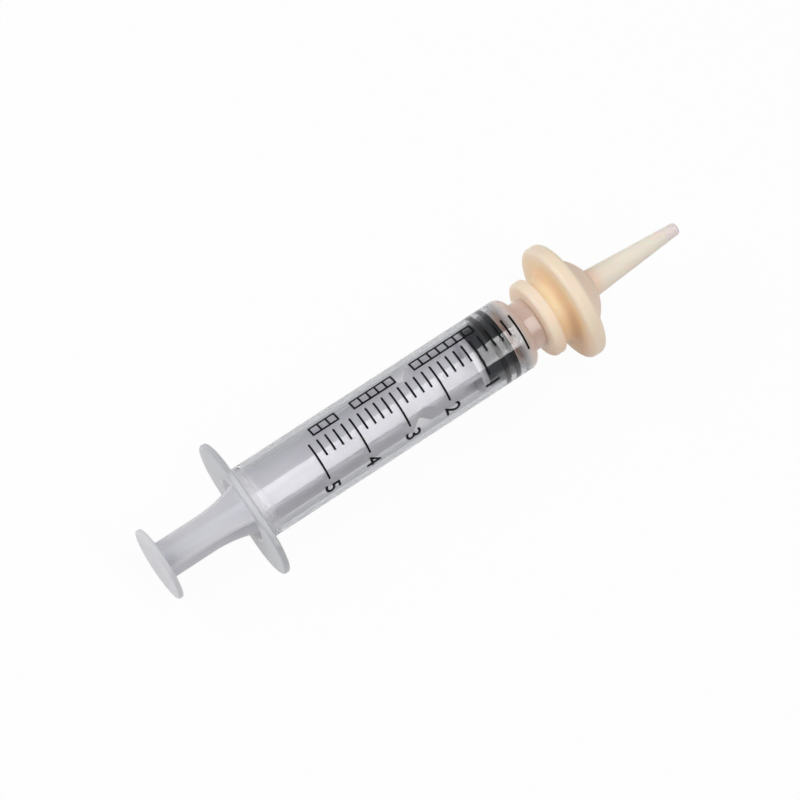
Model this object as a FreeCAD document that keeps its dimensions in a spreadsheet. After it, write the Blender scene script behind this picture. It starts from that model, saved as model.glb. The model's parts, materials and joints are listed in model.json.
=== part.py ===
# Enteral feeding syringe, 5 mL, with a silicone feeding nipple pushed on its nozzle.
# Four pieces: barrel, plunger rod, rubber stopper and nipple. Millimetres.
# Each piece is drawn about its own X axis, with X = 0 at its thumb end, and then laid
# on the table: the nipple's wide shield holds the tip end up, so the axis slopes a little.
import FreeCAD, Part
import math
import os
import Sketcher

DRIVING_SIZES = [
    ("bore", 12.25, "inside diameter of the barrel"),
    ("wall", 0.875, "barrel wall"),
    ("barrel_length", 57.5, "mouth to the start of the shoulder round"),
    ("shoulder_round", 1.7, "radius of the shoulder"),
    ("end_wall", 1.25, "shoulder face back to the end of the straight bore"),
    ("end_cone", 1.4, "depth of the cone that closes the bore"),
    ("shoulder_step", 0.2, "flat of the shoulder face outside the boss"),
    ("boss_length", 2.85, "boss in front of the shoulder"),
    ("boss_round", 0.3, "corner between shoulder and boss, and rim of the boss"),
    ("nozzle_root", 4.3, "nozzle diameter at the boss"),
    ("nozzle_tip", 4.0, "nozzle diameter at its end"),
    ("nozzle_length", 8.3, "nozzle in front of the boss"),
    ("channel", 2.0, "channel through the nozzle"),
    ("flange_rim", 1.15, "finger flange past the tube on its two flats"),
    ("flange_wing", 6.4, "finger flange past the tube at its two wing ends"),
    ("flange_thickness", 1.2, "finger flange"),
    ("flange_round", 0.4, "rounded edges of the flange"),
    ("flange_fillet", 0.4, "corner between flange and tube"),
    ("mouth_chamfer", 0.3, "lead in at the mouth"),
    ("ridge_place", 1.4, "mouth to the ridge that stops the plunger falling out"),
    ("ridge_length", 1.2, "length of the ridge"),
    ("ridge_height", 0.17, "height of the ridge"),
    ("rod_length", 66.35, "thumb face to the front of the head disc"),
    ("thumb_diameter", 13.95, "thumb disc"),
    ("thumb_thickness", 1.0, "thumb disc"),
    ("thumb_round", 0.4, "rounded rim of the thumb disc"),
    ("thumb_fillet", 1.0, "corner between thumb disc and ribs"),
    ("rib_thickness", 0.7, "the four ribs of the rod"),
    ("rib_play", 0.425, "rib edge to bore"),
    ("core_fillet", 1.8, "hollow corner between two ribs"),
    ("waist_diameter", 7.45, "across the ribs near the thumb"),
    ("waist_length", 9.0, "narrow stretch in front of the thumb disc"),
    ("flare_length", 8.9, "stretch over which the ribs widen to the bore"),
    ("notch_place", 13.05, "middle of the break notch back from the head"),
    ("notch_length", 4.0, "break notch along the rib edge"),
    ("notch_depth", 1.6, "break notch down to its round floor"),
    ("notch_floor", 1.0, "width of that round floor"),
    ("head_thickness", 1.2, "disc that carries the stopper"),
    ("head_play", 0.325, "edge of that disc to bore"),
    ("stem_diameter", 4.4, "neck behind the barbed end"),
    ("stem_length", 1.5, "neck behind the barbed end"),
    ("barb_diameter", 7.2, "barbed end, at its widest"),
    ("barb_tip", 4.0, "barbed end, at its front"),
    ("barb_length", 2.7, "barbed end"),
    ("rod_turn", 40.2, "turn of the rod about its axis, degrees"),
    ("plunger_out", 3.0, "how far the stopper stands back from the zero line"),
    ("socket_play", 0.15, "stopper to the barbed end all round"),
    ("stopper_play", 0.45, "body of the stopper to bore"),
    ("seal_play", 0.03, "sealing rings to bore"),
    ("ring_place", 3.1, "back of the stopper to its first ring"),
    ("ring_length", 0.7, "each sealing ring"),
    ("ring_slope", 0.2, "sloping flank of a ring"),
    ("ring_pitch", 2.1, "first ring to second ring"),
    ("end_play", 0.1, "stopper to the closed end with the plunger pushed home"),
    ("nose_flat", 2.4, "diameter of the flat on the stopper's nose"),
    ("nipple_gap", 0.1, "nipple to the boss"),
    ("nozzle_play", 0.03, "nipple to the nozzle all round"),
    ("neck_diameter", 12.6, "nipple between its two discs"),
    ("neck_length", 3.1, "nipple between its two discs"),
    ("collar_rim", 1.18, "small disc past the neck"),
    ("collar_thickness", 2.35, "small disc"),
    ("collar_back_round", 0.85, "rounded edge of the small disc on the barrel side"),
    ("collar_front_round", 0.5, "rounded edge of the small disc on the tip side"),
    ("collar_fillet", 0.25, "corner between small disc and neck"),
    ("shield_fillet", 1.8, "corner between neck and wide disc"),
    ("shield_rim", 4.95, "wide disc past the neck"),
    ("shield_thickness", 2.95, "wide disc"),
    ("shield_round", 0.95, "rounded edges of the wide disc"),
    ("dome_radius", 8.7, "dome in front of the wide disc"),
    ("dome_sink", 4.0, "centre of the dome behind the front of the wide disc"),
    ("dome_wall", 1.8, "wall of the dome"),
    ("nozzle_reach", 0.5, "nozzle past the back of the hollow in the dome"),
    ("teat_root", 5.2, "teat diameter where it leaves the dome"),
    ("teat_tip", 2.35, "teat diameter at its end"),
    ("teat_length", 19.25, "teat"),
    ("teat_round", 0.5, "rounded end of the teat"),
    ("outlet", 0.9, "channel through the teat"),
]


class Size:
    """A size as text that the sheet can work out, with its present value beside it."""

    def __init__(self, text, value):
        self.text = text
        self.value = value

    def joined(self, sign, other, value):
        return Size(f"({self.text} {sign} {as_size(other).text})", value)

    def __add__(self, other):
        return self.joined("+", other, self.value + as_size(other).value)

    def __sub__(self, other):
        return self.joined("-", other, self.value - as_size(other).value)

    def __mul__(self, other):
        return self.joined("*", other, self.value * as_size(other).value)

    def __truediv__(self, other):
        return self.joined("/", other, self.value / as_size(other).value)

    def __neg__(self):
        return Size(f"(0 - {self.text})", -self.value)


def as_size(number):
    return number if isinstance(number, Size) else Size(repr(number), number)


def root(square):
    return Size(f"sqrt({square.text})", math.sqrt(square.value))


def size_sheet(doc):
    """Writes the driving sizes in a sheet and hands them back by name."""
    sheet = doc.addObject("Spreadsheet::Sheet", "Sizes")
    named = {}
    for row, (name, value, note) in enumerate(DRIVING_SIZES, start=1):
        sheet.set(f"A{row}", name)
        sheet.set(f"B{row}", str(value))
        sheet.set(f"C{row}", note)
        sheet.setAlias(f"B{row}", name)
        named[name] = Size(f"Sizes.{name}", value)
    doc.recompute()
    return named


def new_body(name):
    body = doc.addObject("PartDesign::Body", name)
    body.Label = name
    return body


def new_sketch(body, name, plane):
    sketch = body.newObject("Sketcher::SketchObject", name)
    support = next(item for item in body.Origin.OriginFeatures if item.Role == plane)
    sketch.AttachmentSupport = (support, [""])
    sketch.MapMode = "FlatFace"
    return sketch


def arc_between(start, end, radius, side):
    """Arc of less than a half turn, with its middle to the right or left of the way along."""
    chord = end - start
    across = FreeCAD.Vector(chord.y, -chord.x, 0).normalize()
    if side == "left":
        across = -across
    rise = math.sqrt(radius**2 - (chord.Length / 2) ** 2)
    crown = (start + end) / 2 + across * (rise - radius)
    return Part.Arc(start, crown, end)


def hold(sketch, edge, end, x, y):
    """Ties one end of an edge to its two sizes, or to an axis where the size is nought."""
    for kind, axis, place in (("DistanceX", -2, x), ("DistanceY", -1, y)):
        if place.value == 0:
            sketch.addConstraint(Sketcher.Constraint("PointOnObject", edge, end, axis))
            continue
        points = (-1, 1, edge, end)
        if place.value < 0:
            points = (edge, end, -1, 1)
            place = -place
        number = sketch.addConstraint(Sketcher.Constraint(kind, *points, place.value))
        sketch.setExpression(f"Constraints[{number}]", place.text)


def draw(sketch, corners):
    """Closed outline, clockwise. A corner is (x, y), or (x, y, radius, side) where an arc leads on."""
    spots = [(as_size(corner[0]), as_size(corner[1])) for corner in corners]
    vectors = [FreeCAD.Vector(x.value, y.value, 0) for x, y in spots]
    ends = []
    for index, corner in enumerate(corners):
        start = vectors[index]
        end = vectors[(index + 1) % len(corners)]
        if len(corner) == 2:
            edge = sketch.addGeometry(Part.LineSegment(start, end), False)
        else:
            edge = sketch.addGeometry(arc_between(start, end, corner[2].value, corner[3]), False)
        forward = sketch.getPoint(edge, 1).isEqual(start, 1e-6)
        ends.append((edge, 1, 2) if forward else (edge, 2, 1))
    for index, corner in enumerate(corners):
        edge, near, far = ends[index]
        next_edge, next_near, next_far = ends[(index + 1) % len(corners)]
        sketch.addConstraint(Sketcher.Constraint("Coincident", edge, far, next_edge, next_near))
        hold(sketch, edge, near, *spots[index])
        if len(corner) == 4:
            number = sketch.addConstraint(Sketcher.Constraint("Radius", edge, corner[2].value))
            sketch.setExpression(f"Constraints[{number}]", corner[2].text)
    doc.recompute()


def revolved(body, name, corners, kind="PartDesign::Revolution"):
    """Turns an outline of (along, out) corners about the piece's own axis."""
    sketch = new_sketch(body, name + "_outline", "XZ_Plane")
    draw(sketch, corners)
    feature = body.newObject(kind, name)
    feature.Profile = sketch
    feature.ReferenceAxis = (sketch, ["H_Axis"])
    feature.Angle = 360
    doc.recompute()
    return feature


def rounded(body, name, radius, chosen):
    """Rounds the edges of the body's present shape that the given test picks."""
    base = body.Tip
    edges = [f"Edge{number}" for number, edge in enumerate(base.Shape.Edges, start=1) if chosen(edge)]
    feature = body.newObject("PartDesign::Fillet", name)
    feature.Base = (base, edges)
    feature.setExpression("Radius", radius.text)
    doc.recompute()
    return feature


def lies_at(edge, along):
    """True for an edge that lies in the plane at that distance along the axis."""
    return all(abs(vertex.X - along) < 1e-4 for vertex in edge.Vertexes)


def reach(edge):
    """How far the edge gets from the axis."""
    return max(math.hypot(point.y, point.z) for point in edge.discretize(9))


doc = FreeCAD.newDocument("EnteralSyringe")
size = size_sheet(doc)

# Sizes that several features or pieces share
bore_radius = size["bore"] / 2
tube_radius = bore_radius + size["wall"]
channel_radius = size["channel"] / 2
shoulder_face = size["barrel_length"] + size["shoulder_round"]
shoulder_flat = tube_radius - size["shoulder_round"]
boss_radius = shoulder_flat - size["shoulder_step"] - size["boss_round"]
boss_end = shoulder_face + size["boss_length"]
bore_end = shoulder_face - size["end_wall"]
nozzle_end = boss_end + size["nozzle_length"]
nozzle_root_radius = size["nozzle_root"] / 2
nozzle_tip_radius = size["nozzle_tip"] / 2
flange_half = tube_radius + size["flange_rim"]
flange_span = tube_radius + size["flange_wing"]
thumb_radius = size["thumb_diameter"] / 2
rib_radius = bore_radius - size["rib_play"]
waist_radius = size["waist_diameter"] / 2
stem_radius = size["stem_diameter"] / 2
barb_radius = size["barb_diameter"] / 2
barb_tip_radius = size["barb_tip"] / 2
ring_front = size["ring_place"] + size["ring_pitch"] + size["ring_length"]
neck_radius = size["neck_diameter"] / 2
shield_radius = neck_radius + size["shield_rim"]
shield_back = size["collar_thickness"] + size["neck_length"]
shield_front = shield_back + size["shield_thickness"]


def make_barrel():
    """Tube with a round shoulder, boss and nozzle, a winged finger flange, and the bore."""
    body = new_body("barrel")
    outside = [
        (0, 0),
        (0, tube_radius),
        (size["barrel_length"], tube_radius, size["shoulder_round"], "right"),
        (shoulder_face, shoulder_flat),
        (shoulder_face, boss_radius + size["boss_round"], size["boss_round"], "left"),
        (shoulder_face + size["boss_round"], boss_radius),
        (boss_end - size["boss_round"], boss_radius, size["boss_round"], "right"),
        (boss_end, boss_radius - size["boss_round"]),
        (boss_end, nozzle_root_radius),
        (nozzle_end, nozzle_tip_radius),
        (nozzle_end, 0),
    ]
    revolved(body, "tube", outside)

    flat_end = flange_span - flange_half
    flange = new_sketch(body, "flange_outline", "YZ_Plane")
    stadium = [
        (-flat_end, flange_half),
        (flat_end, flange_half, flange_half, "right"),
        (flange_span, 0, flange_half, "right"),
        (flat_end, -flange_half),
        (-flat_end, -flange_half, flange_half, "right"),
        (-flange_span, 0, flange_half, "right"),
    ]
    draw(flange, stadium)
    pad = body.newObject("PartDesign::Pad", "flange")
    pad.Profile = flange
    pad.setExpression("Length", size["flange_thickness"].text)
    doc.recompute()

    thick = size["flange_thickness"].value
    tube = tube_radius.value + 0.01
    rounded(
        body,
        "flange_edges",
        size["flange_round"],
        lambda edge: (lies_at(edge, 0) or lies_at(edge, thick)) and reach(edge) > tube,
    )
    rounded(
        body,
        "flange_root",
        size["flange_fillet"],
        lambda edge: lies_at(edge, thick) and abs(reach(edge) - tube_radius.value) < 1e-4,
    )

    ridge_end = size["ridge_place"] + size["ridge_length"]
    ridge_radius = bore_radius - size["ridge_height"]
    inside = [
        (0, 0),
        (0, bore_radius + size["mouth_chamfer"]),
        (size["mouth_chamfer"], bore_radius),
        (size["ridge_place"], bore_radius),
        (size["ridge_place"] + size["ridge_height"], ridge_radius),
        (ridge_end - size["ridge_height"], ridge_radius),
        (ridge_end, bore_radius),
        (bore_end, bore_radius),
        (bore_end + size["end_cone"], channel_radius),
        (nozzle_end, channel_radius),
        (nozzle_end, 0),
    ]
    revolved(body, "bore", inside, "PartDesign::Groove")
    return body


def cut_ribs(body, name, corners):
    """Cuts the outline out of the upper rib, right through from side to side."""
    sketch = new_sketch(body, name + "_outline", "XZ_Plane")
    draw(sketch, corners)
    cut = body.newObject("PartDesign::Pocket", name)
    cut.Profile = sketch
    cut.Type = "ThroughAll"
    cut.SideType = "Symmetric"
    doc.recompute()
    return cut


def make_plunger_rod():
    """Cross of four ribs, waisted, flared and notched, between a thumb disc and a barbed head."""
    body = new_body("plunger_rod")
    half = size["rib_thickness"] / 2
    fillet_end = half + size["core_fillet"]
    corners = []
    quarter = [
        (-half, rib_radius),
        (half, rib_radius),
        (half, fillet_end, size["core_fillet"], "left"),
        (fillet_end, half),
    ]
    for turn in range(4):
        corners += quarter
        quarter = [(corner[1], -corner[0], *corner[2:]) for corner in quarter]
    cross = new_sketch(body, "cross_section", "YZ_Plane")
    draw(cross, corners)
    ribs = body.newObject("PartDesign::Pad", "ribs")
    ribs.Profile = cross
    ribs.setExpression("Length", (size["rod_length"] - size["head_thickness"] / 2).text)
    doc.recompute()

    clear_of_ribs = rib_radius + size["rib_play"]
    flare_start = size["thumb_thickness"] + size["waist_length"]
    flare_end = flare_start + size["flare_length"]
    rise = rib_radius - waist_radius
    flare_radius = (size["flare_length"] * size["flare_length"] + rise * rise) / (rise * 2)
    waist = [
        (0, waist_radius),
        (0, clear_of_ribs),
        (flare_end, clear_of_ribs),
        (flare_end, rib_radius, flare_radius, "right"),
        (flare_start, waist_radius),
    ]
    waist_cut = cut_ribs(body, "waist", waist)

    notch_middle = size["rod_length"] - size["notch_place"]
    mouth = size["notch_length"] / 2
    floor = size["notch_floor"] / 2
    depth = size["notch_depth"]
    flank = root((mouth - floor) * (mouth - floor) + depth * depth)
    notch = [
        (notch_middle - mouth, rib_radius),
        (notch_middle - mouth, clear_of_ribs),
        (notch_middle + mouth, clear_of_ribs),
        (notch_middle + mouth, rib_radius),
        (notch_middle + floor, rib_radius - depth, floor * flank / depth, "right"),
        (notch_middle - floor, rib_radius - depth),
    ]
    notch_cut = cut_ribs(body, "notch", notch)

    all_round = body.newObject("PartDesign::PolarPattern", "four_ribs")
    all_round.Originals = [waist_cut, notch_cut]
    all_round.Axis = (waist_cut.Profile[0], ["H_Axis"])
    all_round.Angle = 360
    all_round.Occurrences = 4
    body.Tip = all_round
    doc.recompute()

    disc = [
        (0, 0),
        (0, thumb_radius - size["thumb_round"], size["thumb_round"], "right"),
        (size["thumb_round"], thumb_radius),
        (size["thumb_thickness"] - size["thumb_round"], thumb_radius, size["thumb_round"], "right"),
        (size["thumb_thickness"], thumb_radius - size["thumb_round"]),
        (size["thumb_thickness"], 0),
    ]
    revolved(body, "thumb_disc", disc)
    front = size["thumb_thickness"].value
    rounded(
        body,
        "thumb_root",
        size["thumb_fillet"],
        lambda edge: lies_at(edge, front) and reach(edge) < waist_radius.value + 0.1,
    )

    head_back = size["rod_length"] - size["head_thickness"]
    head_radius = bore_radius - size["head_play"]
    barb_back = size["rod_length"] + size["stem_length"]
    barb_front = barb_back + size["barb_length"]
    head = [
        (head_back, 0),
        (head_back, head_radius),
        (size["rod_length"], head_radius),
        (size["rod_length"], stem_radius),
        (barb_back, stem_radius),
        (barb_back, barb_radius),
        (barb_front, barb_tip_radius),
        (barb_front, 0),
    ]
    revolved(body, "barbed_head", head)
    return body


def make_stopper():
    """Rubber stopper with two sealing rings, a conical nose and the socket for the barbed head."""
    body = new_body("stopper")
    play = size["socket_play"]
    body_radius = bore_radius - size["stopper_play"]
    ring_radius = bore_radius - size["seal_play"]
    nose_radius = size["nose_flat"] / 2
    cone_slope = size["end_cone"] / (bore_radius - channel_radius)
    nose_start = ring_front + cone_slope * (bore_radius - body_radius)
    nose_end = ring_front + cone_slope * (bore_radius - nose_radius)
    lip = size["stem_length"] - play * 2
    socket_end = lip + size["barb_length"] + play * 2
    corners = [(0, stem_radius + play), (0, body_radius)]
    for back in (size["ring_place"], size["ring_place"] + size["ring_pitch"]):
        front = back + size["ring_length"]
        corners += [
            (back, body_radius),
            (back + size["ring_slope"], ring_radius),
            (front - size["ring_slope"], ring_radius),
            (front, body_radius),
        ]
    corners += [
        (nose_start, body_radius),
        (nose_end, nose_radius),
        (nose_end, 0),
        (socket_end, 0),
        (socket_end, barb_tip_radius + play),
        (lip, barb_radius + play),
        (lip, stem_radius + play),
    ]
    revolved(body, "stopper_section", corners)
    return body


def make_nipple():
    """Hollow silicone nipple: small disc, neck, wide shield, dome and a long tapered teat."""
    body = new_body("nipple")
    back_round = size["collar_back_round"]
    front_round = size["collar_front_round"]
    collar_radius = neck_radius + size["collar_rim"]
    collar_front = size["collar_thickness"]
    neck_start = collar_front + size["collar_fillet"]
    edge = size["shield_round"]
    dome_radius = size["dome_radius"]
    dome_middle = shield_front - size["dome_sink"]
    dome_foot = root(dome_radius * dome_radius - size["dome_sink"] * size["dome_sink"])
    teat_root = size["teat_root"] / 2
    teat_start = dome_middle + root(dome_radius * dome_radius - teat_root * teat_root)
    teat_end = teat_start + size["teat_length"]
    teat_tip = size["teat_tip"] / 2
    outlet = size["outlet"] / 2
    hollow = dome_radius - size["dome_wall"]
    hollow_back = size["nozzle_length"] - size["nipple_gap"] - size["nozzle_reach"]
    hollow_offset = hollow_back - dome_middle
    hollow_front = dome_middle + root(hollow * hollow - outlet * outlet)
    taper = (nozzle_root_radius - nozzle_tip_radius) / size["nozzle_length"]
    seat_back = nozzle_root_radius + size["nozzle_play"] - taper * size["nipple_gap"]
    seat_front = seat_back - taper * hollow_back
    corners = [
        (0, seat_back),
        (0, collar_radius - back_round, back_round, "right"),
        (back_round, collar_radius),
        (collar_front - front_round, collar_radius, front_round, "right"),
        (collar_front, collar_radius - front_round),
        (collar_front, neck_radius + size["collar_fillet"], size["collar_fillet"], "left"),
        (neck_start, neck_radius),
        (shield_back - size["shield_fillet"], neck_radius, size["shield_fillet"], "left"),
        (shield_back, neck_radius + size["shield_fillet"]),
        (shield_back, shield_radius - edge, edge, "right"),
        (shield_back + edge, shield_radius),
        (shield_front - edge, shield_radius, edge, "right"),
        (shield_front, shield_radius - edge),
        (shield_front, dome_foot, dome_radius, "right"),
        (teat_start, teat_root),
        (teat_end - size["teat_round"], teat_tip, size["teat_round"], "right"),
        (teat_end, teat_tip - size["teat_round"]),
        (teat_end, outlet),
        (hollow_front, outlet, hollow, "left"),
        (hollow_back, root(hollow * hollow - hollow_offset * hollow_offset)),
        (hollow_back, seat_front),
    ]
    revolved(body, "nipple_section", corners)
    return body, teat_end


barrel = make_barrel()
plunger_rod = make_plunger_rod()
stopper = make_stopper()
nipple, nipple_length = make_nipple()

# Places along the barrel's axis, from the barrel's mouth
stopper_back = bore_end - size["end_play"] - size["plunger_out"] - ring_front
thumb_face = stopper_back - size["socket_play"] - size["rod_length"]
nipple_back = boss_end + size["nipple_gap"]


def rolling_corner(along, out, round_radius):
    """A rounded rim as the middle of its round, along and below the axis, with its radius."""
    return along + round_radius, round_radius - out, round_radius


def slope_between(rear, front):
    """Slope of the axis, in radians, when both rounded rims touch the table."""
    run = front[0] - rear[0]
    drop = front[1] - rear[1]
    return math.asin((front[2] - rear[2]) / math.hypot(run, drop)) - math.atan2(drop, run)


shield_corner = rolling_corner((nipple_back + shield_back).value, shield_radius.value, size["shield_round"].value)
flange_corner = rolling_corner(0.0, flange_half.value, size["flange_round"].value)
thumb_corner = rolling_corner(thumb_face.value, thumb_radius.value, size["thumb_round"].value)
slope = min(slope_between(flange_corner, shield_corner), slope_between(thumb_corner, shield_corner))

# The lying syringe stands with its bottom at nought and its length and width centred on the origin
lift = shield_corner[2] - shield_corner[0] * math.sin(slope) - shield_corner[1] * math.cos(slope)
thumb_rim = thumb_corner[0] * math.cos(slope) + thumb_corner[1] * math.sin(slope) - thumb_corner[2]
tip_corner = (nipple_back + nipple_length).value - size["teat_round"].value
tip_rim = tip_corner * math.cos(slope) + size["teat_round"].value
tip_rim += (size["teat_tip"].value / 2 - size["teat_round"].value) * math.sin(slope)
lying = FreeCAD.Placement(
    FreeCAD.Vector(-(thumb_rim + tip_rim) / 2, 0, lift),
    FreeCAD.Rotation(FreeCAD.Vector(0, 1, 0), -math.degrees(slope)),
)


def lay(piece, along, turn=0):
    """Puts a piece at its place along the barrel's axis, turned about it, on the lying syringe."""
    roll = FreeCAD.Rotation(FreeCAD.Vector(1, 0, 0), turn)
    piece.Placement = lying.multiply(FreeCAD.Placement(FreeCAD.Vector(along, 0, 0), roll))


lay(barrel, 0)
lay(plunger_rod, thumb_face.value, size["rod_turn"].value)
lay(stopper, stopper_back.value)
lay(nipple, nipple_back.value)
doc.recompute()

for item in doc.Objects:
    if "Invalid" in item.State or "Error" in item.State:
        raise RuntimeError(f"{item.Name} failed: {item.State}")

os.makedirs("parts", exist_ok=True)
for piece in (barrel, plunger_rod, stopper, nipple):
    shape = piece.Shape
    if shape.isNull() or not shape.isValid() or len(shape.Solids) != 1:
        raise RuntimeError(f"{piece.Label} has no single sound solid")
    shape.exportStep(f"parts/{piece.Label}.step")
    box = shape.BoundBox
    print(piece.Label, f"{shape.Volume:.1f} mm3", [round(v, 2) for v in (box.XMin, box.XMax, box.ZMin, box.ZMax)])

print("slope", math.degrees(slope), "degrees, axis at the mouth", lying.Base)
print("stopper back", stopper_back.value, "thumb face", thumb_face.value, "nipple back", nipple_back.value)
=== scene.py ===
import json
import math

import bpy
from mathutils import Matrix, Vector


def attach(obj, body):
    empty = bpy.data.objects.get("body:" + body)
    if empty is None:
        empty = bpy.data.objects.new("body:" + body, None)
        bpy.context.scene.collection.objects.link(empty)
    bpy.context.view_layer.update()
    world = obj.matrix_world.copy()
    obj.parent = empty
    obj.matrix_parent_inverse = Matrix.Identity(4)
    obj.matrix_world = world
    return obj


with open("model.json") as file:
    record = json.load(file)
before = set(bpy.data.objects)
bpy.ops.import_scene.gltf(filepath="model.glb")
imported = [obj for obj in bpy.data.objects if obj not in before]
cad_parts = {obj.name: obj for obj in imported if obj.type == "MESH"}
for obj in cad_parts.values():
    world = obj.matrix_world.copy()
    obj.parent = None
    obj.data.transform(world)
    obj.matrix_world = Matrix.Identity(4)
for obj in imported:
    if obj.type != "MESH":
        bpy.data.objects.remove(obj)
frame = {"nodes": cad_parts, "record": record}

bpy.context.view_layer.update()
MM = 0.001

# The barrel's own axis: it climbs a little towards the tip, because the shield is wider than the flange
GRIP = next(mount for mount in frame["record"]["mounts"] if mount["name"] == "barrel_grip")
GRIP_PLACE = 30.0                  # mm from the mouth to the point that the mount gives
ALONG = Vector(GRIP["axis"]).normalized()
MOUTH = Vector(GRIP["pos_m"]) - ALONG * GRIP_PLACE * MM
SIDE = Vector((0, -1, 0))          # the side that lies lower in the picture
UP = SIDE.cross(ALONG).normalized()
TUBE = GRIP["dims"]["r_mm"]        # outside radius of the tube


def outward(turn):
    """The direction straight off the axis, turned by so many degrees from the top to the lower side."""
    angle = math.radians(turn)
    return UP * math.cos(angle) + SIDE * math.sin(angle)


def on_barrel(x, turn=0.0, out=0.0):
    """A point's place in the scene: x mm from the mouth, turned from the top, and out mm off the axis."""
    return MOUTH + (ALONG * x + outward(turn) * out) * MM


def standing(first, second, third, place):
    """How a thing stands whose own X, Y and Z run along the three directions."""
    turned = Matrix((first, second, third)).transposed().to_4x4()
    turned.translation = place
    return turned


# ---------------------------------------------------------------- camera
PICTURE = 800                      # picture points across
TILT, YAW, ROLL = 12.795, 10.096, 33.012   # degrees
DISTANCE = 0.5976                  # camera to the plane through the aim
FOCAL = 3414.3                     # picture points
AIM_X, AIM_Y = 383.41, 418.24      # where the aim shows in the picture
SENSOR = 36


def add_camera():
    tilt, roll = math.radians(TILT), math.radians(ROLL)
    back = outward(YAW) * math.cos(tilt) - ALONG * math.sin(tilt)
    level = (ALONG - back * ALONG.dot(back)).normalized()
    over = back.cross(level)
    right = level * math.cos(roll) - over * math.sin(roll)
    upward = level * math.sin(roll) + over * math.cos(roll)
    place = on_barrel(GRIP_PLACE) + back * DISTANCE
    place -= right * (AIM_X - PICTURE / 2) / FOCAL * DISTANCE
    place -= upward * (PICTURE / 2 - AIM_Y) / FOCAL * DISTANCE
    lens = bpy.data.cameras.new("camera")
    lens.sensor_width = SENSOR
    lens.lens = FOCAL * SENSOR / PICTURE
    lens.clip_start, lens.clip_end = 0.01, 20
    camera = bpy.data.objects.new("camera", lens)
    bpy.context.scene.collection.objects.link(camera)
    camera.matrix_world = standing(right, upward, back, place)
    bpy.context.scene.camera = camera


# ---------------------------------------------------------------- finishes
class Value:
    """What a node hands on. A number that varies adds, takes, times and shares like any other."""

    def __init__(self, finish, socket):
        self.finish = finish
        self.socket = socket

    def worked(self, operation, first, second):
        return self.finish.part("ShaderNodeMath", {"operation": operation}, {0: first, 1: second})

    def __add__(self, other):
        return self.worked("ADD", self, other)

    def __radd__(self, other):
        return self.worked("ADD", other, self)

    def __sub__(self, other):
        return self.worked("SUBTRACT", self, other)

    def __rsub__(self, other):
        return self.worked("SUBTRACT", other, self)

    def __mul__(self, other):
        return self.worked("MULTIPLY", self, other)

    def __truediv__(self, other):
        return self.worked("DIVIDE", self, other)

    def or_more(self, other):
        return self.worked("MAXIMUM", self, other)


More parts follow.
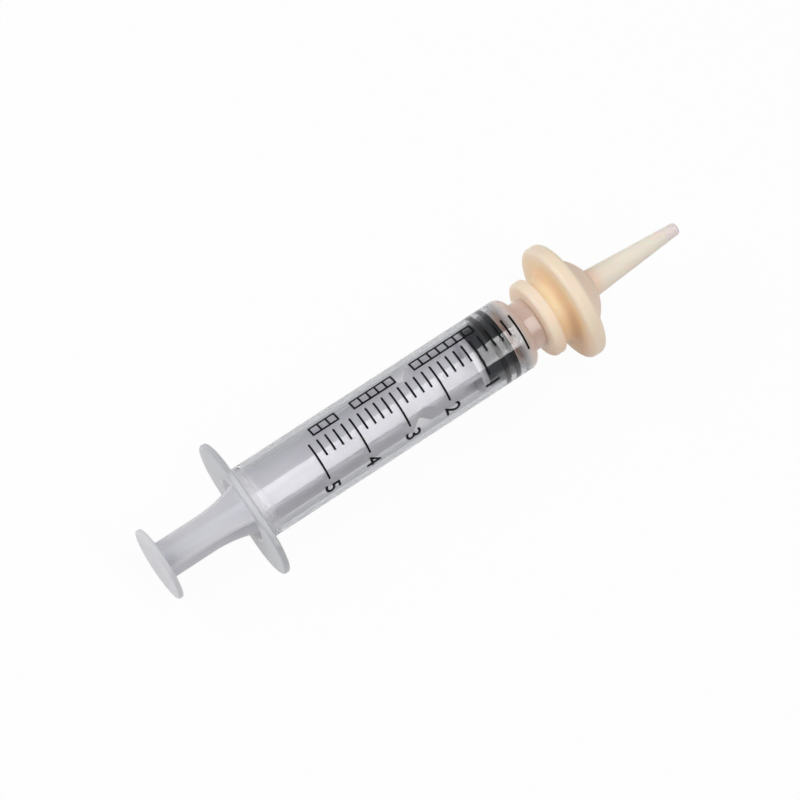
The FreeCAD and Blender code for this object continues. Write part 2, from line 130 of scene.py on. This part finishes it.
class Finish:
    """One material: its surface shader, and whatever nodes are laid in front of it."""

    def __init__(self, name, **constants):
        self.material = bpy.data.materials.new(name)
        self.material.use_nodes = True
        self.nodes = self.material.node_tree.nodes
        self.links = self.material.node_tree.links
        self.surface = self.nodes["Principled BSDF"]
        self.ending = self.nodes["Material Output"].inputs["Surface"]
        for name, value in constants.items():
            self.surface.inputs[name.replace("_", " ")].default_value = value
        self.place = self.part("ShaderNodeTexCoord", {}, {}, "Object")

    def part(self, kind, settings, sockets, output=0):
        """Adds a node: its settings, a ramp's stops among them, and then its sockets."""
        node = self.nodes.new(kind)
        for name, value in settings.items():
            if name == "stops":
                for element, (at, colour) in zip(node.color_ramp.elements, value):
                    element.position = at
                    element.color = colour
            else:
                setattr(node, name, value)
        for name, value in sockets.items():
            if isinstance(value, Value):
                self.links.new(value.socket, node.inputs[name])
            else:
                node.inputs[name].default_value = value
        return Value(self, node.outputs[output])

    def feed(self, socket, value):
        self.links.new(value.socket, self.surface.inputs[socket])

    def vector(self, operation, *vectors, output="Value"):
        return self.part("ShaderNodeVectorMath", {"operation": operation}, dict(enumerate(vectors)), output)

    def from_mouth(self):
        return self.vector("SUBTRACT", self.place, MOUTH, output="Vector")

    def along(self):
        """Millimetres along the barrel's axis from its mouth."""
        return self.vector("DOT_PRODUCT", self.from_mouth(), ALONG) / MM

    def sideways(self):
        """Millimetres out from the axis towards the lower side of the picture."""
        return self.vector("DOT_PRODUCT", self.from_mouth(), SIDE) / MM

    def off_axis(self):
        """Millimetres out from the barrel's axis, whichever way."""
        across = self.vector("CROSS_PRODUCT", self.from_mouth(), ALONG, output="Vector")
        return self.vector("LENGTH", across) / MM

    def glancing(self):
        """Nought where the surface is seen straight on, one at its edge, as a thicker wall looks."""
        return self.part("ShaderNodeLayerWeight", {}, {"Blend": 0.5}, "Facing")

    def drawn_out(self, stretch):
        """Places squeezed along the axis, so that a pattern laid on them runs lengthwise."""
        turned = math.atan2(ALONG.z, ALONG.x)
        sockets = {"Vector": self.place, "Rotation": (0, -turned, 0), "Scale": (stretch, 1, 1)}
        return self.part("ShaderNodeMapping", {"vector_type": "TEXTURE"}, sockets)

    def grain(self, scale, detail, roughness, place=None):
        sockets = {"Vector": place or self.place, "Scale": scale, "Detail": detail, "Roughness": roughness}
        return self.part("ShaderNodeTexNoise", {}, sockets, "Fac")

    def eased(self, value, start, end, at_start, at_end):
        sockets = {"Value": value, "From Min": start, "From Max": end, "To Min": at_start, "To Max": at_end}
        return self.part("ShaderNodeMapRange", {"interpolation_type": "SMOOTHSTEP"}, sockets, "Result")

    def rising(self, value, start, end, top=1.0):
        """Nought before the start, the top past the end."""
        return self.eased(value, start, end, 0.0, top)

    def falling(self, value, start, end, top=1.0):
        """The top before the start, nought past the end."""
        return self.eased(value, start, end, top, 0.0)

    def ramp(self, value, stops):
        return self.part("ShaderNodeValToRGB", {"stops": stops}, {"Fac": value}, "Color")

    def blend(self, mask, first, second):
        """From the first colour to the second as the mask goes from nought to one."""
        sockets = {0: mask, 6: first, 7: second}     # 6 and 7 take the colours, and 2 gives what they make
        return self.part("ShaderNodeMix", {"data_type": "RGBA"}, sockets, 2)

    def layered(self, colour, layers):
        """Lays colours over the first one, each where its mask says."""
        for mask, layer in layers:
            colour = self.blend(mask, colour, layer)
        return colour

    def emboss(self, height, depth_mm):
        bump = self.part("ShaderNodeBump", {}, {"Height": height, "Distance": depth_mm * MM}, "Normal")
        self.feed("Normal", bump)
        return bump

    def lay_over(self, share, shader):
        """Lays another shader over all that the material ends in so far."""
        under = Value(self, self.ending.links[0].from_socket)
        mixed = self.part("ShaderNodeMixShader", {}, {0: share, 1: under, 2: shader})
        self.links.new(mixed.socket, self.ending)

    def clouded(self, share, **constants):
        """Lays a cloudy surface over the first; what is fed from now on goes to the cloudy one."""
        sockets = {name.replace("_", " "): value for name, value in constants.items()}
        cloudy = self.part("ShaderNodeBsdfPrincipled", {}, sockets)
        self.lay_over(share, cloudy)
        self.surface = cloudy.socket.node

    def rays(self, kind):
        return self.part("ShaderNodeLightPath", {}, {}, f"Is {kind} Ray")

    def lets_lamps_through(self, tint):
        """Lets the lamps light what lies behind a clear wall: only their own rays meet a plain pane here."""
        self.lay_over(self.rays("Shadow"), self.part("ShaderNodeBsdfTransparent", {}, {"Color": tint}))


def hue(red, green, blue):
    """A colour as a screen shows it, 0 to 255, in the shader's own numbers."""
    shares = [value / 255 for value in (red, green, blue)]
    return (*(v / 12.92 if v <= 0.04045 else ((v + 0.055) / 1.055) ** 2.4 for v in shares), 1.0)


POLYPROPYLENE = 1.49               # how strongly the barrel and the rod bend light
EVEN = (1.0, 1.0, 1.0)             # light of each colour goes equally deep
WALL = (6.3, 6.6)                  # off the axis: within the tube's wall, between its bore and its outside


def clear_moulding():
    """Natural polypropylene of the barrel: clear where it is seen straight through, smokier at its edges,
    with faint flow lines, and cloudy in the flange and in the thick front; painted light inside the shaded
    mouth, and a painted reflection of the pink nipple on the boss."""
    finish = Finish("barrel_plastic", IOR=POLYPROPYLENE, Transmission_Weight=1.0)
    flow_lines = finish.grain(90.0, 3.0, 0.5, finish.drawn_out(14.0))
    fine = finish.grain(900.0, 4.0, 0.6)
    along = finish.along()
    off = finish.off_axis()
    glancing = finish.glancing()

    clear, smoky, edge_on = hue(242, 241, 242), hue(190, 192, 197), hue(161, 163, 168)
    # painted light: the bore just inside the mouth lies in shade, so it is painted near white and cloudier
    # there
    painted_light_in_mouth = finish.falling(off, *WALL) * finish.falling(along, 3.0, 5.0)
    tint = finish.blend(finish.rising(glancing, 0.05, 0.6) + flow_lines * 0.08, clear, smoky)
    tint = finish.blend(finish.rising(glancing, 0.42, 0.66), tint, edge_on)
    finish.feed("Base Color", finish.blend(painted_light_in_mouth * 0.9, tint, clear))
    satin_boss = finish.rising(along, 58.4, 59.6, 0.12)
    finish.feed("Roughness", 0.03 + flow_lines * 0.03 + fine * 0.02 + satin_boss)
    flange_waves = finish.grain(260.0, 2.0, 0.4) * finish.falling(along, 1.6, 2.6, 8.0)
    bump = finish.emboss(flow_lines * 0.7 + fine * 0.3 + flange_waves, 0.006)

    flange = finish.falling(along, 1.9, 3.2, 0.6)
    front = finish.rising(along, 55.6, 57.8, 0.84)
    haze = finish.rising(glancing, 0.12, 0.5, 0.12)
    finish.clouded(
        flange + front + haze + flow_lines * 0.015 + painted_light_in_mouth * 0.25,
        IOR=POLYPROPYLENE, Subsurface_Weight=0.8, Subsurface_Scale=0.003, Subsurface_Radius=EVEN,
    )
    shoulder = finish.rising(along, 56.2, 57.6)
    # painted reflection: the boss is tinted pink for the nipple mirrored in it
    nipple_reflection_on_boss = finish.rising(along, 56.8, 58.4)
    nozzle = finish.rising(along, 61.8, 62.3)
    finish.feed("Base Color", finish.layered(hue(201, 202, 206), [
        (painted_light_in_mouth, hue(248, 248, 250)), (shoulder, hue(221, 214, 209)),
        (nipple_reflection_on_boss, hue(218, 194, 182)), (nozzle, hue(208, 208, 211)),
    ]))
    glossy_shoulder = finish.rising(off, *WALL, 0.26) * finish.rising(along, 54.0, 56.0)
    glossy_boss = finish.falling(off, 5.0, 6.4, 0.2) * finish.rising(along, 59.0, 59.3)
    finish.feed("Roughness", 0.34 - glossy_shoulder - glossy_boss + fine * 0.04)
    finish.feed("Normal", bump)
    finish.lets_lamps_through(hue(246, 246, 247))
    return finish.material


def milky_moulding():
    """Polypropylene of the plunger rod: milky and satin, a little uneven lengthwise."""
    finish = Finish(
        "rod_plastic", IOR=POLYPROPYLENE, Transmission_Weight=0.12, Sheen_Weight=0.25, Sheen_Roughness=0.4,
        Subsurface_Weight=0.7, Subsurface_Scale=0.0025, Subsurface_Radius=(1.0, 1.0, 1.1),
    )
    cloud = finish.grain(140.0, 4.0, 0.55, finish.drawn_out(5.0))
    fine = finish.grain(1200.0, 3.0, 0.6)
    pale, dull = hue(225, 225, 230), hue(215, 215, 222)
    finish.feed("Base Color", finish.blend(finish.rising(cloud, 0.3, 0.7), pale, dull))
    finish.feed("Roughness", 0.28 + cloud * 0.12 + fine * 0.05)
    finish.emboss(cloud * 0.6 + fine * 0.4, 0.03)
    return finish.material


def stopper_rubber():
    """Black moulded rubber: a mottled grey on its body, partly dust and partly a painted sheen of the thin
    gap against the bore, and painted near black on the rings, where they press on the bore and show no such
    sheen.
    """
    finish = Finish("stopper_rubber", IOR=1.5, Specular_IOR_Level=0.25)
    # painted reflection: the body is painted lighter than the rings for the sheen in its gap to the bore,
    # which the pressed rings lack
    rings_painted_dark = finish.rising(finish.off_axis(), 5.75, 6.0)
    cloud = finish.grain(160.0, 4.0, 0.6)
    fine = finish.grain(1500.0, 3.0, 0.7)
    dust_and_sheen = finish.ramp(cloud, [(0.3, hue(24, 27, 33)), (0.7, hue(38, 42, 50))])
    finish.feed("Base Color", finish.blend(rings_painted_dark, dust_and_sheen, hue(5, 5, 7)))
    finish.feed("Roughness", 0.40 + cloud * 0.14 + fine * 0.08)
    finish.emboss(fine, 0.02)
    return finish.material


def nipple_silicone():
    """Cream silicone: warmer where it is thick and shaded between the discs, pinker on the hollow dome,
    pale in the teat; painted shade in the corner before the shield, on the lower side between the discs
    and along the shield's lower edge."""
    finish = Finish(
        "nipple_silicone", IOR=1.41,
        Subsurface_Weight=0.55, Subsurface_Scale=0.0022, Subsurface_Radius=(1.0, 0.55, 0.3),
    )
    along = finish.along()
    off = finish.off_axis()
    lower = finish.sideways()
    cloud = finish.grain(120.0, 4.0, 0.55)
    fine = finish.grain(1400.0, 3.0, 0.6)
    warm = hue(250, 226, 189)

    before_rim = finish.falling(along, 67.6, 69.0)
    recess = finish.falling(off, 8.4, 11.0) * finish.rising(along, 64.4, 65.0) * before_rim
    # painted shade: darker orange in the corner where the neck meets the shield
    corner_shade = finish.falling(off, 6.5, 9.2) * finish.rising(along, 65.4, 67.0, 0.4) * before_rim
    between_discs = finish.rising(along, 63.6, 64.6) * finish.falling(along, 67.0, 68.4)
    shaded = finish.rising(lower, 1.0, 6.0, 0.4) * finish.falling(off, 7.5, 10.5) * between_discs
    # painted shade: the shield's back darkened brown towards its lower edge
    low_edge_shade = finish.rising(lower, 5.0, 10.5, 0.55) * finish.falling(off, 12.2, 13.6)
    dome = finish.rising(along, 70.4, 71.0)
    teat = finish.rising(along, 74.6, 77.5)
    thin_end = finish.rising(along, 88.0, 93.5)
    uneven = finish.rising(cloud, 0.3, 0.7, 0.12)
    finish.feed("Base Color", finish.layered(hue(255, 231, 210), [
        (recess, warm), (corner_shade, hue(232, 178, 126)), (shaded, hue(222, 165, 114)),
        (low_edge_shade * finish.falling(along, 66.0, 68.6), hue(214, 160, 118)),
        (dome, hue(255, 222, 203)), (teat, hue(253, 238, 224)), (thin_end, hue(250, 229, 228)),
        (uneven, warm),
    ]))
    finish.feed("Roughness", 0.36 + cloud * 0.12 + fine * 0.06)
    finish.emboss(cloud * 0.5 + fine * 0.5, 0.02)
    return finish.material


def printing_ink():
    """Black screen ink, a little thin here and there."""
    finish = Finish("printing_ink", IOR=1.5, Specular_IOR_Level=0.12)
    worn = finish.grain(2200.0, 4.0, 0.65)
    finish.feed("Base Color", finish.ramp(worn, [(0.25, hue(16, 16, 19)), (0.75, hue(4, 4, 6))]))
    finish.feed("Roughness", 0.42 + worn * 0.2)
    finish.emboss(worn, 0.01)
    return finish.material


# ---------------------------------------------------------------- print on the barrel
ZERO = 57.4                        # mouth to the zero line
MILLILITRE = 8.485                 # scale length for each millilitre of this bore
FULL_SCALE = 5                     # millilitres
STEPS_EACH = 5                     # lines to the millilitre
LINE = 0.38                        # width of a printed line
INK = 0.03                         # ink stands this far off the tube, and its lines reach as far into it
MARK_TOP = -17.2                   # turn from the top of the barrel where every line starts
LONG_END, SHORT_END = 42.4, 10.8   # and where a long and a short one end
ARC_STEP = 3                       # degrees of a line between two of its sections
NUMERAL_TURN = 57.5
NUMERAL_HEIGHT = 3.1
NUMERAL_WEIGHT = 0.05              # drawn this much bolder all round
LETTER_SHARE = 0.73                # height of a digit beside the lettering's own size
BOX_TURN = -33.6                   # middle of the rows of writing boxes
BOX_HEIGHT = 2.2
BOX_LINE = 0.37
WRITING_ROWS = [(16.6, 22.2, 3), (25.2, 34.2, 5), (37.9, 51.0, 7)]   # start, end, boxes
STRIP = 0.25                       # flat print is cut in strips of this width before it is pressed on
LIFT = 2.0                         # flat print hangs this far off the tube until then
PRINT_GAP = 0.005                  # and stands this far off afterwards
TOUCHING = 1e-7                    # corners closer than this, in metres, are one


def clear_selection():
    if bpy.context.object and bpy.context.object.mode != "OBJECT":
        bpy.ops.object.mode_set(mode="OBJECT")
    bpy.ops.object.select_all(action="DESELECT")


def settle():
    """Moves an object's place, turn and size into its mesh."""
    bpy.ops.object.transform_apply(location=True, rotation=True, scale=True)


def made_one(name, parts):
    """Joins parts to one piece with its place in its mesh."""
    clear_selection()
    for part in parts:
        part.select_set(True)
    bpy.context.view_layer.objects.active = parts[0]
    if len(parts) > 1:
        bpy.ops.object.join()
    settle()
    piece = bpy.context.object
    piece.name = name
    piece.data.name = name
    return piece


def spun(x, section, start, turn, steps):
    """A closed section, in mm along and off the axis, spun about the barrel's axis by so many degrees."""
    clear_selection()
    bpy.ops.mesh.primitive_circle_add(vertices=len(section), radius=MM, fill_type="NOTHING")
    piece = bpy.context.object
    for vertex, (step, out) in zip(piece.data.vertices, section):
        vertex.co = on_barrel(x + step, start, out)
    bpy.ops.object.mode_set(mode="EDIT")
    bpy.ops.mesh.select_all(action="SELECT")
    bpy.ops.mesh.spin(steps=steps, angle=math.radians(turn), center=MOUTH, axis=ALONG)
    bpy.ops.mesh.select_all(action="SELECT")
    bpy.ops.mesh.remove_doubles(threshold=TOUCHING)
    bpy.ops.mesh.fill_holes(sides=len(section))
    bpy.ops.mesh.normals_make_consistent(inside=False)
    bpy.ops.object.mode_set(mode="OBJECT")
    return piece


def printed_arc(x, end):
    """A line of ink across the barrel."""
    low, high = TUBE - INK, TUBE + INK
    section = [(-LINE / 2, high), (LINE / 2, high), (LINE / 2, low), (-LINE / 2, low)]
    steps = round((end - MARK_TOP) / ARC_STEP)
    return spun(x, section, MARK_TOP, MARK_TOP - end, steps)


def add_scale_marks():
    marks = []
    for count in range(FULL_SCALE * STEPS_EACH + 1):
        end = SHORT_END if count % STEPS_EACH else LONG_END
        marks.append(printed_arc(ZERO - MILLILITRE * count / STEPS_EACH, end))
    return made_one("scale_marks", marks)


def pressed_on(parts, turn, x):
    """Lays flat print on the barrel: cuts it in strips, presses it on to the tube and thickens it."""
    piece = made_one("print", parts)
    bpy.ops.object.mode_set(mode="EDIT")
    reach = max(abs(vertex.co.y) for vertex in piece.data.vertices)
    strips = math.ceil(reach / (STRIP * MM))
    for step in range(-strips + 1, strips):
        bpy.ops.mesh.select_all(action="SELECT")
        bpy.ops.mesh.bisect(plane_co=(0, step * STRIP * MM, 0), plane_no=(0, 1, 0))
    bpy.ops.object.mode_set(mode="OBJECT")
    out = outward(turn)
    piece.matrix_world = standing(ALONG, out.cross(ALONG), out, on_barrel(x, turn, TUBE + LIFT))
    press = piece.modifiers.new("press", "SHRINKWRAP")
    press.target = frame["nodes"]["barrel"]
    press.wrap_method = "PROJECT"
    press.use_project_z = True
    press.use_negative_direction = True
    press.use_positive_direction = False
    press.offset = PRINT_GAP * MM
    thicken = piece.modifiers.new("thicken", "SOLIDIFY")
    thicken.thickness = INK * MM
    thicken.offset = 1.0
    for modifier in ("press", "thicken"):
        bpy.ops.object.modifier_apply(modifier=modifier)
    settle()
    return piece


def topped_to_tip(digit):
    """Turns a flat digit so that its top points to the tip."""
    digit.rotation_euler = (0, 0, math.radians(-90))
    settle()
    return digit


def flat_numeral(count):
    """A bold digit."""
    clear_selection()
    bpy.ops.object.text_add(location=(0, 0, 0))
    lettering = bpy.context.object.data
    lettering.body = str(count)
    lettering.size = NUMERAL_HEIGHT / LETTER_SHARE
    lettering.align_x = "CENTER"
    lettering.align_y = "CENTER"
    lettering.resolution_u = 6
    lettering.offset = NUMERAL_WEIGHT
    bpy.ops.object.convert(target="MESH")
    digit = bpy.context.object
    low = Vector(map(min, zip(*[vertex.co for vertex in digit.data.vertices])))
    high = Vector(map(max, zip(*[vertex.co for vertex in digit.data.vertices])))
    digit.location = (low + high) / -2 * MM
    digit.scale = (MM, MM, MM)
    settle()
    return topped_to_tip(digit)


def flat_shape(corners):
    """A flat piece of print with the given corners in mm, one after the other."""
    clear_selection()
    bpy.ops.mesh.primitive_circle_add(vertices=len(corners), radius=MM, fill_type="NGON")
    shape = bpy.context.object
    for vertex, (x, y) in zip(shape.data.vertices, corners):
        vertex.co = (x * MM, y * MM, 0)
    return shape


def flat_four():
    """The digit 4 in four strokes, because the lettering closes its small hole when it is drawn bold."""
    return topped_to_tip(made_one("four", [
        flat_shape([(-1.01, -0.56), (0.20, -0.56), (0.20, -0.09), (-0.84, -0.09), (-1.01, -0.30)]),
        flat_shape([(-0.84, -0.09), (-0.31, -0.09), (0.20, 0.63), (0.20, 1.18)]),
        flat_shape([(0.20, -1.50), (0.71, -1.50), (0.71, 1.50), (0.46, 1.50), (0.20, 1.18)]),
        flat_shape([(0.71, -0.56), (1.02, -0.56), (1.02, -0.09), (0.71, -0.09)]),
    ]))


def add_numerals():
    """1 to 5 beside the long lines."""
    numerals = []
    for count in range(1, FULL_SCALE + 1):
        digit = flat_four() if count == 4 else flat_numeral(count)
        numerals.append(pressed_on([digit], NUMERAL_TURN, ZERO - MILLILITRE * count))
    return made_one("scale_numerals", numerals)


def flat_line(x, y, length, width):
    clear_selection()
    bpy.ops.mesh.primitive_plane_add(size=MM, location=(x * MM, y * MM, 0))
    line = bpy.context.object
    line.scale = (length, width, 1)
    settle()
    return line


def add_writing_boxes():
    """Three plain rows of empty boxes to write in, where the barrel carries small print."""
    rows = []
    for start, end, count in WRITING_ROWS:
        length = end - start
        lines = [flat_line(0, side * (BOX_HEIGHT - BOX_LINE) / 2, length, BOX_LINE) for side in (-1, 1)]
        pitch = (length - BOX_LINE) / count
        for wall in range(count + 1):
            lines.append(flat_line(pitch * (wall - count / 2), 0, BOX_LINE, BOX_HEIGHT - BOX_LINE * 2))
        rows.append(pressed_on(lines, BOX_TURN, (start + end) / 2))
    return made_one("writing_boxes", rows)


# ---------------------------------------------------------------- where the rubber presses on the bore
REAR_RING = 52.4                   # mouth to the middle of the rear ring
RING_PITCH = 2.1
BAND_STEPS = 120
BAND_CORNER = 50                   # degrees; sharper corners of a band stay sharp
BAND = [(-0.35, 5.98), (0.35, 5.98), (0.42, 6.10), (0.46, 6.135), (-0.6, 6.135), (-0.54, 6.10)]


def sealing_band(x):
    """The lip of a ring, pressed flat on the wall of the bore."""
    band = spun(x, BAND, 0, 360, BAND_STEPS)
    bpy.ops.object.shade_smooth_by_angle(angle=math.radians(BAND_CORNER))
    return band


def add_sealing_bands():
    return made_one("sealing_bands", [sealing_band(REAR_RING), sealing_band(REAR_RING + RING_PITCH)])


# ---------------------------------------------------------------- studio
LAMP_AIM = 35                      # mm from the mouth
LAMPS = [   # name, turn from the top, lean to the tip, distance, length along the barrel, width, energy
    ("softbox", 20.0, 12.8, 0.5, 0.14, 0.56, 0.9),
    ("tip_light", 20.0, 19.7, 0.5, 0.043, 0.56, 0.22),
    ("window", -42.0, -34.0, 0.7, 0.5, 0.5, 2.3),
]
WHITE = (1, 1, 1, 1)
ROOM_LIGHT = 0.31
TABLE_SIZE = 6                     # metres
TABLE_GREY = (0.85, 0.85, 0.85, 1)
TABLE_GLOW = 0.95                  # share of the table that is plain white where it is looked at


def add_lamp(name, turn, towards_tip, distance, length, width, energy):
    """A soft rectangular lamp that faces the syringe, turned round its axis and leaning to one end."""
    lean = math.radians(towards_tip)
    facing = outward(turn) * math.cos(lean) + ALONG * math.sin(lean)
    lengthwise = (ALONG - facing * ALONG.dot(facing)).normalized()
    lamp = bpy.data.lights.new(name, "AREA")
    lamp.shape = "RECTANGLE"
    lamp.size, lamp.size_y = length, width
    lamp.energy = energy
    hung = bpy.data.objects.new(name, lamp)
    bpy.context.scene.collection.objects.link(hung)
    spot = on_barrel(LAMP_AIM) + facing * distance
    hung.matrix_world = standing(lengthwise, facing.cross(lengthwise), facing, spot)


def add_room_light():
    world = bpy.data.worlds.new("studio")
    bpy.context.scene.world = world
    world.use_nodes = True
    backdrop = world.node_tree.nodes["Background"]
    backdrop.inputs["Color"].default_value = WHITE
    backdrop.inputs["Strength"].default_value = ROOM_LIGHT


def table_white():
    """White where the table is looked at, through the syringe or mirrored in it too; matt grey to lamps."""
    finish = Finish("table_top", Base_Color=TABLE_GREY, Roughness=0.9, Specular_IOR_Level=0.0)
    looked_at = finish.rays("Camera").or_more(finish.rays("Glossy")).or_more(finish.rays("Transmission"))
    glow = finish.part("ShaderNodeEmission", {}, {"Color": WHITE, "Strength": 1.0})
    finish.lay_over(looked_at * TABLE_GLOW, glow)
    return finish.material


def add_table():
    clear_selection()
    bpy.ops.mesh.primitive_plane_add(size=TABLE_SIZE, location=(0, 0, 0))
    table = bpy.context.object
    table.name = "table_top"
    table.data.materials.append(table_white())


# ---------------------------------------------------------------- the whole syringe
finishes = {
    "barrel": clear_moulding(),
    "plunger_rod": milky_moulding(),
    "stopper": stopper_rubber(),
    "nipple": nipple_silicone(),
}
for node, finish in finishes.items():
    for slot in frame["nodes"][node].material_slots:
        slot.material = finish

ink = printing_ink()
for print_piece in (add_scale_marks(), add_numerals(), add_writing_boxes()):
    print_piece.data.materials.clear()
    print_piece.data.materials.append(ink)
    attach(print_piece, "barrel")

bands = add_sealing_bands()
bands.data.materials.clear()
bands.data.materials.append(finishes["stopper"])
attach(bands, "stopper")

add_camera()
for lamp in LAMPS:
    add_lamp(*lamp)
add_room_light()
add_table()
bpy.context.scene.view_settings.view_transform = "Standard"

bpy.context.view_layer.update()
